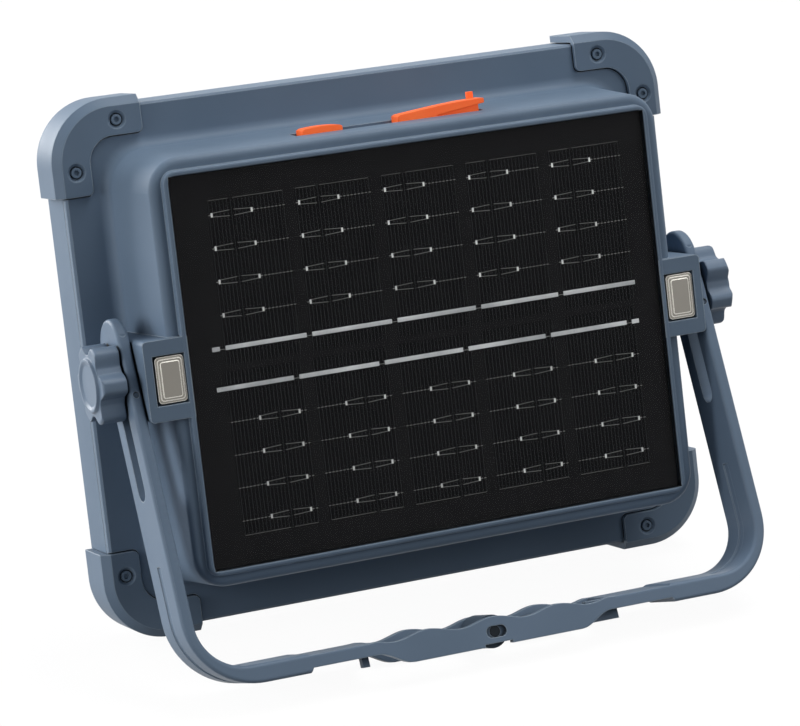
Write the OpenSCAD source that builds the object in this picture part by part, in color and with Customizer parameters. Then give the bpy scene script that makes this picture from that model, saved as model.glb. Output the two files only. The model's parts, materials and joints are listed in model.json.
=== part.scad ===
// Solar flood light: a lamp with a solar panel on its back, a stand handle that swings and slides,
// clamp knobs, magnets beside the panel and a folding hook in the grip.
// The parts are drawn on upright axes: X runs across the panel, Z is up and Y runs from the panel side
// to the lamp side, with Y = 0 at the faces of the corner guards. stand() then leans the whole lamp back
// until it rests on its lower guards and its grip, as it stands in use.

/* [Solar panel] */
// Width of the panel glass
glass_w = 177.4; // [140:0.2:190]
// Height of the panel glass
glass_h = 134.7; // [120:0.1:146]
// Thickness of the panel glass
glass_t = 2; // [1.6:0.1:3.2]
// Thickness of the cell wafers
cell_t = 0.3; // [0.2:0.05:0.5]
// Thickness of the board behind the cells
backing_t = 1.2; // [0.8:0.1:2]
// Number of cell columns
cell_cols = 5; // [2:1:5]
// Distance between cell columns
cell_pitch = 31.69; // [24:0.1:34]
// Width of one cell
cell_w = 28.7; // [20:0.1:30]
// Distance between the busbars of a cell
busbar_pitch = 11.38; // [8:0.02:11.6]
// Busbars on each cell, the innermost of which carries the ribbon
busbars = 5; // [2:1:5]
// Gap between the upper and the lower row of cells
row_gap = 2.4; // [1:0.1:6]
// Rise of the cell field's centre above the glass centre
cell_rise = 0.5; // [-2:0.1:2]
// Width of the tinned ribbon
ribbon_w = 1.5; // [0.8:0.1:2.5]
// Thickness of the tinned ribbon
ribbon_t = 0.2; // [0.1:0.05:0.4]

/* [Rear housing] */
// Rise of the panel's face above the guard faces
panel_rise = 38.3; // [32:0.1:44]
// Set-back of the flange behind the guard faces
flange_set = 1.6; // [1.2:0.1:2.4]
// Width of the moulded lip round the glass
lip_w = 2; // [1.2:0.1:3]
// Step down outside the lip
lip_step = 2.4; // [1:0.1:4]
// Width of the shelf outside the lip
shelf_w = 1.65; // [0.8:0.05:3]
// Rounding of the rim
rim_r = 2.6; // [1:0.1:4]
// Draft of the walls, in degrees
draft = 4; // [1:0.5:6]
// Fillet where the walls meet the flange
base_r = 4; // [1.5:0.5:5]
// Radius of the corner axis under the glass corner
corner_r = 5; // [3:0.5:9]
// Corner radius of the lip beside the glass
lip_r = 2.4; // [1.6:0.1:3]
// Wall thickness of the mouldings
wall = 2.2; // [1.6:0.1:3]

/* [Flange and frame] */
// Overall width of the flange at its lamp edge
flange_w = 226.4; // [222:0.2:240]
// Overall height of the flange at its lamp edge
flange_h = 183.4; // [180:0.2:196]
// Corner radius of the flange at its lamp edge
flange_r = 19.2; // [12:0.2:24]
// Thickness of the flange plate
flange_t = 3; // [2.6:0.1:4]
// Chamfer along the flange's rear edge
flange_cham = 0.8; // [0.4:0.1:2]
// Depth of the frame behind the flange plate
frame_d = 17.2; // [15:0.1:24]
// Widening of the frame's side on each side over its depth
frame_draft = 0.3; // [0.1:0.1:1.5]
// Width of the bezel beside the lens
bezel_w = 15.2; // [13:0.1:18]
// Width of the open groove between the flange and the frame
seam_w = 0.4; // [0.2:0.1:0.8]

/* [Corner guards] */
// Thickness of the guard's wrap over the flange side
guard_t = 2.5; // [1.5:0.1:4]
// Thickness of the guard's face plate
guard_face_t = 2.6; // [2.2:0.1:3.4]
// Reach of the face plate inward from the guard's outside
guard_reach = 13; // [11:0.5:15]
// Straight arm along the top and bottom edges
guard_arm_x = 11.2; // [6:0.2:20]
// Straight arm along the side edges
guard_arm_z = 10.4; // [6:0.2:20]
// Chamfer round the guard's face
guard_cham = 2.9; // [1:0.1:3.5]
// Depth of the guard's wrap from its face
guard_d = 20; // [14:0.5:21]
// Shadow gap between the guard and the flange
guard_gap = 0.45; // [0.2:0.05:0.6]

/* [Brackets and magnets] */
// Width of a bracket beside the glass
bracket_w = 16.2; // [15:0.1:17]
// Height of a bracket
bracket_h = 27.7; // [24:0.1:34]
// Width of a magnet
magnet_w = 10.3; // [8:0.1:11]
// Height of a magnet
magnet_h = 15.8; // [12:0.1:20]
// Thickness of a magnet
magnet_t = 3.4; // [2:0.1:3.6]
// Set-back of the magnet's face in its pocket
magnet_set = 0.4; // [0.2:0.1:0.8]
// Clearance round a magnet in its pocket
magnet_gap = 0.6; // [0.3:0.05:0.8]

/* [Handle] */
// Distance of the pivot axis behind the panel's face
pivot_back = 17.8; // [14:0.1:24]
// Swing of the handle from straight down toward the panel side
swing = 18.5; // [14:0.5:24]
// Gap between a bracket and the handle's leg
leg_gap = 0.4; // [0.3:0.1:1]
// Thickness of the handle's legs
leg_t = 4.3; // [3.6:0.1:5.5]
// Depth of the handle from front to back
handle_d = 22; // [18:0.5:26]
// Reach from the pivot to the inside of the bar
bar_in = 104.6; // [104:0.2:116]
// Thickness of the bar at its corners
bar_t = 6.6; // [6:0.1:8]
// Thickness of the bar between its corners
mid_bar_t = 4.3; // [3.6:0.1:5]
// Half length of the thin middle of the bar
mid_bar = 67.5; // [58:0.5:74]
// Outer corner radius of the handle
handle_r = 25; // [18:0.5:30]
// Inner corner radius of the handle
handle_in_r = 16.5; // [12:0.5:24]
// Rake of the bar: its lamp-side edge lies nearer the pivot than its panel-side edge, in degrees
bar_rake = 9.5; // [0:0.1:11]
// Rounding of the handle's long edges
edge_r = 1.2; // [0.4:0.1:1.6]
// Rise of the ears' round tops above the pivot
ear_rise = 10.5; // [8:0.5:12]
// Slide of the handle along its slots
slide_travel = 6.5; // [4:0.5:9]
// Width of the slots in the legs
slot_w = 7.5; // [7:0.1:9]
// Distance from the pivot to the slot's lower end
slot_end = 42.3; // [30:0.1:56]

/* [Grip and hook] */
// Half length of the open grip
grip_half = 44.6; // [42:0.2:50]
// Thickness of each rail of the grip
rail_t = 3; // [2.4:0.1:4]
// Depth of the rails below the inside of the bar
rail_d = 9.6; // [9:0.1:12]
// Height of the finger waves
wave_h = 1.1; // [0.4:0.1:1.6]
// Length of one finger wave
wave_len = 24.5; // [20:0.1:28]
// Radius of the hook's hub
hub_r = 5.8; // [5:0.1:6]
// Radius of the hook's pin
pin_r = 1.9; // [1.5:0.1:2.4]
// Reach of the hook from its pin
hook_len = 36; // [32:0.5:36]
// Thickness of the hook along the swing
hook_t = 5; // [4:0.1:6]
// Width of the hook's bar
hook_bar = 3.6; // [3:0.1:4]

/* [Knobs] */
// Radius over the lobes of a knob
knob_r = 14.2; // [12:0.1:16]
// Radius at the flutes of a knob
knob_valley = 10.6; // [9:0.1:11.5]
// Number of lobes
knob_lobes = 6; // [4:1:8]
// Thickness of a knob's lobes
knob_t = 8.6; // [6:0.1:10]
// Rise of the knob's cap above the lobes
cap_rise = 1; // [0.6:0.1:2]
// Radius of the knob's cap
cap_r = 9.6; // [8:0.1:10]
// Turn of the right knob from the left one's position, in degrees
right_turn = 37; // [0:1:60]
// Radius of the clamp bolt
bolt_r = 3; // [2.5:0.1:3]

/* [Button and ports] */
// Left end of the port recess
recess_left = -36.5; // [-42:0.5:-34]
// Right end of the port recess
recess_right = 34; // [32:0.5:40]
// Width of the port recess, across the wall
recess_w = 7; // [6.6:0.2:9]
// Depth of the port recess
recess_d = 2; // [1.6:0.1:2.6]
// Length of the power button
button_len = 14.8; // [12:0.2:18]
// Rise of the power button above the wall
button_rise = 2; // [1:0.1:3]
// Travel of the power button
button_travel = 1; // [0.4:0.1:1.2]
// Length of the port cover
cover_len = 32.9; // [31:0.1:36]
// Rise of the port cover at its lifting end
cover_rise = 4; // [3:0.1:4.6]

/* [Lamp] */
// Thickness of the lens
lens_t = 2.8; // [2:0.1:3.4]
// Set-back of the lens behind the bezel's face
lens_set = 1.2; // [0.6:0.1:2]
// Thickness of the gasket under the lens
gasket_t = 0.8; // [0.5:0.1:1.2]
// Thickness of the LED board
led_board_t = 1.6; // [1:0.1:2]
// Depth from the lens seat to the LED board
reflector_d = 7.4; // [6:0.1:8]
// LED columns
led_cols = 12; // [6:1:14]
// LED rows
led_rows = 8; // [4:1:10]

/* [Power pack] */
// Diameter of a battery cell
battery_d = 18.4; // [14:0.1:18.6]
// Length of a battery cell
battery_len = 65; // [50:0.5:70]
// Running clearance between fitted pieces
fit = 0.1; // [0.05:0.01:0.2]

/* [Hidden] */
$fn = 64;
eps = 0.01;

// Depths along Y
panel_y = -panel_rise;
flange_y = flange_set;
seam_y = flange_y + flange_t;
front_y = seam_y + frame_d;
frame_cham = 0.8;
seam_d = 1.2;
tray_depth = glass_t + ribbon_t + cell_t + backing_t;
cavity_y = panel_y + tray_depth + 2;
pivot_y = panel_y + pivot_back;

// Rear housing section, measured outward from the edge of the glass
slope = tan(draft);
rim_cx = lip_w + 0.1 + shelf_w;
rim_cd = lip_step + rim_r;
wall_foot = panel_rise + flange_set;
function wall_o(depth) = rim_cx + rim_r * cos(draft) + (depth - rim_cd + rim_r * sin(draft)) * slope;
base_co = wall_o(wall_foot - base_r) + base_r / cos(draft);
lip_profile = [[0, 0.4], [lip_r + 0.1, 0.4], [lip_r + 0.5, 0], [lip_r + lip_w - 0.7, 0],
    [lip_r + lip_w - 0.2, 0.25], [lip_r + lip_w, 0.7], [lip_r + lip_w + 0.1, lip_step + 1],
    [0, lip_step + 1]];
housing_profile = concat([[0, lip_step]],
    [for (a = [90:-15:draft]) [rim_cx + rim_r * cos(a), rim_cd - rim_r * sin(a)]],
    [for (a = [180 - draft:-11:92]) [base_co + base_r * cos(a), wall_foot - base_r + base_r * sin(a)]],
    [[base_co, wall_foot], [base_co, wall_foot + 0.5], [0, wall_foot + 0.5]]);

// Corner axes
glass_cx = glass_w / 2 - corner_r;
glass_cz = glass_h / 2 - corner_r;
flange_cx = flange_w / 2 - flange_r;
flange_cz = flange_h / 2 - flange_r;
guard_out = flange_r + guard_t + 0.3;
guard_z = flange_cz + guard_out;
guard_in = guard_out - guard_reach;

// Guard screws: one on each arm of a guard
screw_r = 1.5;
screw_head_r = 1.8;
screw_dish_r = 3.3;
screw_dish_t = 0.8;
guard_groove = 0.8;
screw_in = 7.75;
screw_spots = [[-guard_arm_x * 0.2, guard_out - screw_in], [guard_out - screw_in, -guard_arm_z * 0.2]];

// Brackets and handle
bracket_set = 0.2;
bracket_r = 1.5;
bracket_x = glass_w / 2 + bracket_w;
leg_in = bracket_x + leg_gap;
leg_out = leg_in + leg_t;
handle_half = handle_d / 2;
bar_out = bar_in + bar_t;
mid_top = bar_in + 0.6;
rail_out = bar_in + rail_d;
insert_r = 4.5;
insert_len = 9.4;
bush_r = slot_w / 2 - fit;
bush_flange_t = 0.6;
bush_flange_r = 8;
knob_in = leg_out + fit + bush_flange_t + 0.2;
hook_u = bar_in + 4.7;
rake = tan(bar_rake);
hook_mid_u = hook_u - handle_half * rake;

// Stance: the lamp leans until the lower guards' lamp edge and the grip's far rail touch the ground
far_rail_out = rail_out - handle_d * rake;
grip_y = pivot_y - far_rail_out * sin(swing) + handle_half * cos(swing);
grip_z = -far_rail_out * cos(swing) - handle_half * sin(swing);
lean = atan((-guard_z - grip_z) / (guard_d - grip_y));
ground_z = -guard_d * sin(lean) - guard_z * cos(lean);
near_y = pivot_y * cos(lean) - rail_out * sin(swing + lean) - handle_half * cos(swing + lean);
far_y = front_y * cos(lean) + (flange_h / 2 - frame_cham) * sin(lean);

// Cells and ribbons
cell_h = busbars * busbar_pitch - 1;
ribbon_half = 79.8;
ribbon_break = 2.1;
ribbon_offset = 12.6;

// Magnets
pocket_x = glass_w / 2 + 7.5;
magnet_shift = 0.4;
magnet_r = 1.4;
magnet_step = 0.9;

// Port recess, sockets, button and control board
port_y = -21.5;
port_floor = glass_h / 2 + wall_o(port_y - panel_y) - recess_d;
port_block_t = 4;
block_margin = 3;
port_gap = 0.4;
wall_top = port_floor + recess_d;
socket_wall = 0.5;
usb_a_x = 10;
usb_a_w = 13.1;
usb_a_t = 5.7;
usb_a_len = 14;
usb_c_x = 26;
usb_c_w = 8.9;
usb_c_t = 3.2;
usb_c_len = 9;
board_w = 88;
board_h = 44;
board_t = 1.6;
board_drop = 7.5;
board_z = port_floor - board_drop - board_h;
board_y = port_y + usb_a_t / 2;
board_screw_r = 1.2;
board_screw_len = 7;
post_r = 3;
post_in = 4;
post_spots = [for (x = [post_in - board_w / 2, board_w / 2 - post_in],
    z = [board_z + post_in, board_z + board_h - post_in]) [x, z]];
button_x = recess_left + 2.6 + button_len / 2;
button_stem_r = 1.6;
switch_z = board_z + board_h;
switch_w = 6;
switch_h = 6.5;
plunger_t = 1.5;
button_play = 0.5;
cover_left = recess_right + 0.7 - cover_len;
nub_w = 2;
nub_h = 2.4;
lift_from = cover_len * 0.45;
flap_t = 1.7;
plug_gap = 1.2;
lead_hole_r = 5;
lead_z = cell_low(1) + cell_h / 2;

// Lamp side
seat_y = front_y - lens_set - lens_t - gasket_t;
led_y = seat_y - reflector_d;
bezel_t = 2.5;
window_r = 8;
window_x = flange_w / 2 - bezel_w;
window_z = flange_h / 2 - bezel_w;
window_cx = window_x - window_r;
window_cz = window_z - window_r;
ledge_w = 3.2;
ledge_r = window_r - ledge_w;
led_board_x = window_x + 3.5;
led_board_z = window_z + 3.5;
led_screw_r = 1.1;
led_screw_out = 1.3;
led_screw_len = 6;
led_spot_x = window_x / 2;
led_spot_z = window_z * 0.6;
led_spots = concat([for (s = [-1, 1], z = [-led_spot_z, led_spot_z]) [s * (window_x + led_screw_out), z]],
    [for (s = [-1, 1], x = [-led_spot_x, led_spot_x]) [x, s * (window_z + led_screw_out)]]);
led_margin_x = 14;
led_margin_z = 13;

// Fasteners, bolts and the small parts of the handle
guard_screw_tip = 14;
screw_seat = 1.6;
guard_end_r = 2;
bore_fit = 0.05;
bolt_head_r = 5.6;
bolt_head_t = 4;
cap_dish = 0.6;
stop_x = grip_half + 3.7;
stop_short = 2.6;
stop_long = 11.3;
stop_v = -5.5;
stop_t = 2.5;
stop_drop = 3.7;
pin_slot = 3.5;
groove_w = 3.5;
groove_d = 0.5;
groove_top = 67;
dimple_r = 1.1;
dimple_x = leg_in + leg_t / 2;
dimple_z = [13.8, -7.7];
notch_w = 10.5;
notch_d = 1;
pad_end = 1;
pin_seat = 1.5 - handle_half;
wave_span = 1.75 * wave_len;

// Power pack
cell_rows_z = [-27, -47];
cell_half_gap = 1.5;
battery_y = cavity_y + 1.6 + battery_d / 2;
tray_rise = 7;
tray_wall = 2;
strap_w = 14;
strap_t = 1.5;

// Leans the upright drawing back and sets it on the ground, centred
module stand() {
    translate([0, -(near_y + far_y) / 2, -ground_z]) rotate([-lean, 0, 0]) children();
}

// Sweeps an outline of [distance from the corner axis, depth] points round a rectangle of corner axes
module swept_ring(points, cx, cz) {
    for (s = [0, 1]) {
        mirror([s, 0, 0]) translate([cx, 0, -cz]) linear_extrude(2 * cz) polygon(points);
        mirror([0, 0, s]) translate([cx, 0, cz]) rotate([0, -90, 0]) linear_extrude(2 * cx) polygon(points);
        for (t = [0, 1])
            mirror([s, 0, 0]) mirror([0, 0, t]) translate([cx, 0, -cz])
                rotate([-90, 0, 0]) rotate_extrude(angle = 90) polygon(points);
    }
}

// The same with the middle filled; the outline starts and ends on the corner axis
module swept_solid(points, cx, cz) {
    low = min([for (p = points) p[1]]);
    high = max([for (p = points) p[1]]);
    swept_ring(points, cx, cz);
    translate([-cx, low, -cz]) cube([2 * cx, high - low, 2 * cz]);
}

// Flat plate with rounded corners between two depths
module plate(half_x, half_z, r, y0, y1) {
    swept_solid([[0, y0], [r, y0], [r, y1], [0, y1]], half_x - r, half_z - r);
}

// Sweeps an outline round one corner and along its two arms
module corner_sweep(points, arm_x, arm_z) {
    mirror([0, 0, 1]) rotate([-90, 0, 0]) rotate_extrude(angle = 90) polygon(points);
    rotate([0, -90, 0]) linear_extrude(arm_x) polygon(points);
    translate([0, 0, -arm_z]) linear_extrude(arm_z) polygon(points);
}

// Cylinder along Y from y0 to y1
module y_rod(r, y0, y1) {
    translate([0, y0, 0]) rotate([-90, 0, 0]) cylinder(r = r, h = y1 - y0);
}

// Cylinder along X from x0 to x1
module x_rod(r, x0, x1) {
    translate([x0, 0, 0]) rotate([0, 90, 0]) cylinder(r = r, h = x1 - x0);
}

// Places a child at the four flange corners, or at one of them
module at_corner(right, top) {
    mirror([right ? 0 : 1, 0, 0]) mirror([0, 0, top ? 0 : 1]) translate([flange_cx, 0, flange_cz]) children();
}

module all_corners() {
    for (right = [true, false], top = [true, false]) at_corner(right, top) children();
}

// Places a child in the handle's own frame: pivot at the origin and legs straight down
module on_handle() {
    translate([0, pivot_y, 0]) rotate([-swing, 0, 0]) children();
}

// ---- Solar panel ----
function column_x(i) = (i - (cell_cols - 1) / 2) * cell_pitch;
function cell_low(top) = cell_rise + (top == 1 ? row_gap / 2 : -row_gap / 2 - cell_h);
function ribbon_z(top) = cell_rise + (top == 1 ? 1 : -1) * (row_gap + busbar_pitch) / 2;

module solar_glass() {
    color("#1B1B1D") stand() translate([-glass_w / 2, panel_y, -glass_h / 2])
        cube([glass_w, glass_t, glass_h]);
}

module solar_cells() {
    color("#15161A") stand() for (i = [0:cell_cols - 1], top = [0, 1])
        translate([column_x(i) - cell_w / 2, panel_y + glass_t + ribbon_t, cell_low(top)])
            cube([cell_w, cell_t, cell_h]);
}

// Strips along the innermost busbars, each running from one cell over to the next
module cell_ribbons() {
    color("#B9BCC0") stand() for (top = [0, 1]) {
        side = top == 1 ? -1 : 1;
        breaks = [for (i = [0:cell_cols - 1]) column_x(i) + side * ribbon_offset];
        starts = concat([-ribbon_half], [for (b = breaks) b + ribbon_break / 2]);
        ends = concat([for (b = breaks) b - ribbon_break / 2], [ribbon_half]);
        for (i = [0:len(starts) - 1])
            translate([starts[i], panel_y + glass_t, ribbon_z(top) - ribbon_w / 2])
                cube([ends[i] - starts[i], ribbon_t, ribbon_w]);
    }
}

// Board behind the cells, with a hole for the panel's leads
module panel_backing() {
    color("#22252B") stand() difference() {
        translate([-glass_w / 2, panel_y + tray_depth - backing_t, -glass_h / 2])
            cube([glass_w, backing_t, glass_h]);
        translate([0, 0, lead_z]) y_rod(lead_hole_r, panel_y, cavity_y);
    }
}

// ---- Rear housing ----

module housing_shell() {
    difference() {
        union() {
            swept_solid([for (p = housing_profile) [p[0] + (p[0] > 0 ? corner_r : 0), p[1] + panel_y]],
                glass_cx, glass_cz);
            swept_solid([for (p = lip_profile) [p[0], p[1] + panel_y]],
                glass_w / 2 - lip_r, glass_h / 2 - lip_r);
            swept_solid([[0, flange_y], [flange_r - flange_cham - frame_draft, flange_y],
                [flange_r - frame_draft, flange_y + flange_cham], [flange_r - frame_draft, seam_y],
                [0, seam_y]], flange_cx, flange_cz);
        }
        // Pocket for the panel
        translate([-glass_w / 2 - fit, panel_y - 1, -glass_h / 2 - fit])
            cube([glass_w + 2 * fit, tray_depth + 1, glass_h + 2 * fit]);
        // Hollow behind the panel, open to the lamp side
        swept_solid([[0, cavity_y], [corner_r + wall_o(cavity_y - panel_y) - wall, cavity_y],
            [corner_r + wall_o(wall_foot - base_r) - wall, flange_y], [corner_r + wall_o(wall_foot) - wall,
            seam_y + eps], [0, seam_y + eps]], glass_cx, glass_cz);
    }
}

module brackets() {
    for (s = [0, 1]) mirror([s, 0, 0])
        translate([bracket_x - (bracket_w + lip_w) / 2, 0, 0])
            plate((bracket_w + lip_w) / 2, bracket_h / 2, bracket_r, panel_y + bracket_set, flange_y + 1);
}

// Space of a guard's face plate in the flange, grown by a margin, with the same rounded ends
module guard_seat(grow, depth) {
    difference() {
        corner_sweep([[guard_in - grow, flange_y - 1], [flange_r + 9, flange_y - 1], [flange_r + 9, depth],
            [guard_in - grow, depth]], guard_arm_x + grow, guard_arm_z + grow);
        translate([-guard_arm_x - grow, 0, guard_in - grow]) end_round(guard_end_r + grow, depth);
        translate([guard_in - grow, 0, -guard_arm_z - grow]) end_round(guard_end_r + grow, depth);
    }
}

module rear_housing() {
    color("#5A6878") stand() difference() {
        union() {
            housing_shell();
            difference() {
                brackets();
                translate([-glass_w / 2 - fit, panel_y - 1, -glass_h / 2 - fit])
                    cube([glass_w + 2 * fit, wall_foot, glass_h + 2 * fit]);
            }
            // Block under the port recess
            translate([recess_left - block_margin, port_y - recess_w / 2 - block_margin,
                port_floor - port_block_t])
                cube([recess_right - recess_left + 2 * block_margin, recess_w + 2 * block_margin,
                    port_block_t + 1]);
            for (p = post_spots) translate([p[0], 0, p[1]]) y_rod(post_r, cavity_y - 1, board_y);
        }
        // Magnet pockets
        for (s = [-1, 1])
            translate([s * pocket_x - magnet_w / 2 - magnet_gap, panel_y + bracket_set - 1,
                -magnet_h / 2 - magnet_gap])
                cube([magnet_w + 2 * magnet_gap, magnet_set + magnet_t + 1, magnet_h + 2 * magnet_gap]);
        // Seats of the pivot inserts
        for (s = [0, 1]) mirror([s, 0, 0]) translate([0, pivot_y, 0])
            x_rod(insert_r, bracket_x - insert_len, bracket_x + 1);
        // Seats and shadow gaps of the guards
        all_corners() guard_seat(guard_gap, guard_face_t);
        all_corners() difference() {
            guard_seat(guard_gap, guard_face_t + guard_groove);
            guard_seat(-guard_gap, guard_face_t + guard_groove + 1);
        }
        all_corners() for (p = screw_spots) translate([p[0], 0, p[1]]) y_rod(screw_r + fit, 0, seam_y + 1);
        // Port recess and the holes in its floor
        translate([recess_left, port_y - recess_w / 2, port_floor])
            cube([recess_right - recess_left, recess_w, 12]);
        translate([button_x, port_y, port_floor - port_block_t - 1])
            cylinder(r = button_stem_r + 0.3, h = port_block_t + 2);
        translate([usb_a_x - usb_a_w / 2 - fit, board_y - usb_a_t - fit, port_floor - port_block_t - 1])
            cube([usb_a_w + 2 * fit, usb_a_t + 2 * fit, port_block_t + 2]);
        translate([usb_c_x - usb_c_w / 2 - fit, board_y - usb_c_t - fit, port_floor - port_block_t - 1])
            cube([usb_c_w + 2 * fit, usb_c_t + 2 * fit, port_block_t + 2]);
        // Holes for the panel's leads and for the board screws
        translate([0, 0, lead_z]) y_rod(lead_hole_r, panel_y, cavity_y + 1);
        for (p = post_spots) translate([p[0], 0, p[1]]) y_rod(board_screw_r + fit, board_y - board_screw_len,
            board_y + 1);
    }
}

// ---- Ports, button and control board ----

module power_button() {
    color("#FF7A45") stand() {
        // Pad, domed along its length
        translate([button_x, port_y + recess_w / 2 - port_gap, wall_top]) rotate([90, 0, 0])
            linear_extrude(recess_w - 2 * port_gap) polygon(concat(
                [for (x = [-button_len / 2, button_len / 2]) [x, button_travel + 0.2 - recess_d]],
                [for (i = [8:-1:-8]) let (t = i / 8)
                    [t * button_len / 2, button_rise - 0.5 * t * t - (abs(i) == 8 ? 0.4 : 0)]]));
        translate([button_x, port_y, switch_z + plunger_t])
            cylinder(r = button_stem_r, h = port_floor + button_travel + 0.4 - switch_z - plunger_t);
    }
}

// Flap over the ports, hinged at its left end, with a nub to lift it by
module port_cover() {
    color("#FF7A45") stand() difference() {
        union() {
            translate([cover_left, port_y + recess_w / 2 - port_gap, wall_top]) rotate([90, 0, 0])
                linear_extrude(recess_w - 2 * port_gap) polygon([[0, port_gap - recess_d],
                    [lift_from, port_gap - recess_d], [lift_from, 0.1], [cover_len, cover_rise - flap_t],
                    [cover_len, cover_rise - 0.2], [cover_len - 0.4, cover_rise],
                    [cover_len * 0.75, cover_rise - 0.1], [cover_len * 0.5, cover_rise * 0.85],
                    [cover_len * 0.25, cover_rise * 0.67], [1, cover_rise / 2], [0, cover_rise / 2 - 0.6]]);
            // Plug under the lifted end, set in from the flap's sides
            translate([cover_left, port_y + recess_w / 2 - plug_gap, wall_top]) rotate([90, 0, 0])
                linear_extrude(recess_w - 2 * plug_gap) polygon([[lift_from - 1, port_gap - recess_d],
                    [cover_len - 2, port_gap - recess_d], [cover_len - 2, cover_rise - flap_t],
                    [lift_from - 1, 0.5]]);
            translate([cover_left + cover_len - 4.1, port_y + recess_w / 2 - port_gap - nub_w,
                wall_top + cover_rise - 1]) cube([nub_w, nub_w, nub_h + 1]);
        }
        // Hollow underside over the sockets
        translate([cover_left + 2, port_y - recess_w / 2 + 1.6, wall_top - recess_d])
            cube([cover_len - 6.5, recess_w - 3.2, recess_d - 0.6]);
    }
}

module socket(x, width, thick, length) {
    translate([x - width / 2, board_y - thick, port_floor - 0.4 - length]) {
        difference() {
            cube([width, thick, length]);
            translate([socket_wall, socket_wall, socket_wall])
                cube([width - 2 * socket_wall, thick - 2 * socket_wall, length]);
        }
        translate([socket_wall * 2, thick * 0.42, 0])
            cube([width - 4 * socket_wall, thick * 0.2, length - 1.5]);
    }
}

module usb_a_socket() {
    color("#C4C6C8") stand() socket(usb_a_x, usb_a_w, usb_a_t, usb_a_len);
}

module usb_c_socket() {
    color("#C4C6C8") stand() socket(usb_c_x, usb_c_w, usb_c_t, usb_c_len);
}

module power_switch() {
    color("#2A2A2C") stand() {
        translate([button_x - switch_w / 2, board_y - usb_a_t, switch_z - switch_h])
            cube([switch_w, usb_a_t, switch_h - plunger_t]);
        translate([button_x, port_y, switch_z - plunger_t - eps])
            cylinder(r = button_stem_r - 0.1, h = plunger_t - button_play + eps);
    }
}

module control_board() {
    color("#2F6B45") stand() difference() {
        translate([-board_w / 2, board_y, board_z]) cube([board_w, board_t, board_h]);
        for (p = post_spots) translate([p[0], 0, p[1]]) y_rod(board_screw_r + fit, board_y - 1, board_y + 3);
    }
}

module screw(shank_r, head_r, head_t, length) {
    difference() {
        union() {
            cylinder(r = head_r, h = head_t);
            translate([0, 0, -length]) cylinder(r = shank_r, h = length + eps);
        }
        translate([0, 0, head_t / 2]) cylinder(r = head_r * 0.55, h = head_t, $fn = 6);
    }
}

module board_screws() {
    color("#8C8E90") stand() for (p = post_spots)
        translate([p[0], board_y + board_t, p[1]]) rotate([-90, 0, 0]) screw(board_screw_r, 2.4, 1.4,
            board_screw_len);
}

// ---- Lamp side ----

module front_frame() {
    wall_in = flange_w / 2 - frame_draft - wall;
    wall_in_z = flange_h / 2 - frame_draft - wall;
    color("#5A6878") stand() difference() {
        union() {
            difference() {
                swept_solid([[0, seam_y], [flange_r - frame_draft - seam_d, seam_y],
                    [flange_r - frame_draft - seam_d, seam_y + seam_w],
                    [flange_r - frame_draft, seam_y + seam_w], [flange_r, front_y - frame_cham],
                    [flange_r - frame_cham, front_y], [0, front_y]], flange_cx, flange_cz);
                plate(wall_in, wall_in_z, flange_r - frame_draft - wall, seam_y - 1, led_y);
                difference() {
                    plate(wall_in, wall_in_z, flange_r - frame_draft - wall, led_y - 1, front_y - bezel_t);
                    plate(window_x, window_z, window_r, led_y - 2, front_y);
                }
                plate(window_x - ledge_w, window_z - ledge_w, ledge_r, led_y - 1, seat_y + 1);
                plate(window_x, window_z, window_r, seat_y, front_y + 1);
            }
            all_corners() for (p = screw_spots) translate([p[0], 0, p[1]]) y_rod(3.2, seam_y, front_y - 1);
            for (p = led_spots) translate([p[0], 0, p[1]]) y_rod(2.2, led_y, front_y - 1);
        }
        all_corners() for (p = screw_spots)
            translate([p[0], 0, p[1]]) y_rod(screw_r + fit, seam_y - 1, guard_screw_tip + 1);
        for (p = led_spots) translate([p[0], 0, p[1]])
            y_rod(led_screw_r + fit, led_y - 1, led_y + led_screw_len + 1);
        // The wall's inner side stays clear of the lens seat
        plate(window_x, window_z, window_r, seat_y, front_y + 1);
    }
}

module lens_gasket() {
    color("#26282B") stand() swept_ring([[ledge_r + 0.3, seat_y], [window_r - 0.3, seat_y],
        [window_r - 0.3, seat_y + gasket_t], [ledge_r + 0.3, seat_y + gasket_t]], window_cx, window_cz);
}

module front_lens() {
    color("#DDE6EA") stand() plate(window_x - 0.3, window_z - 0.3, window_r - 0.3, seat_y + gasket_t,
        seat_y + gasket_t + lens_t);
}

module reflector() {
    color("#F2F2EE") stand() swept_ring([[0.8, led_y], [ledge_r - 0.3, led_y], [ledge_r - 0.3, seat_y - 0.1],
        [ledge_r - 0.9, seat_y - 0.1]], window_cx, window_cz);
}

module led_board() {
    color("#E8E8E4") stand() difference() {
        plate(led_board_x, led_board_z, window_r, led_y - led_board_t, led_y);
        for (p = led_spots) translate([p[0], 0, p[1]]) y_rod(led_screw_r + fit, led_y - 5, led_y + 1);
    }
}

module led_chips() {
    chip = [3.5, 0.8, 2.8];
    step_x = 2 * (window_x - led_margin_x) / (led_cols - 1);
    step_z = 2 * (window_z - led_margin_z) / (led_rows - 1);
    color("#E9C84E") stand() for (i = [0:led_cols - 1], j = [0:led_rows - 1])
        translate([(i - (led_cols - 1) / 2) * step_x - chip[0] / 2, led_y, (j - (led_rows - 1) / 2) * step_z
            - chip[2] / 2]) cube(chip);
}

module led_board_screws() {
    color("#8C8E90") stand() for (p = led_spots)
        translate([p[0], led_y - led_board_t, p[1]]) rotate([90, 0, 0]) screw(led_screw_r, 2, 1.2,
            led_screw_len + led_board_t);
}

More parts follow.
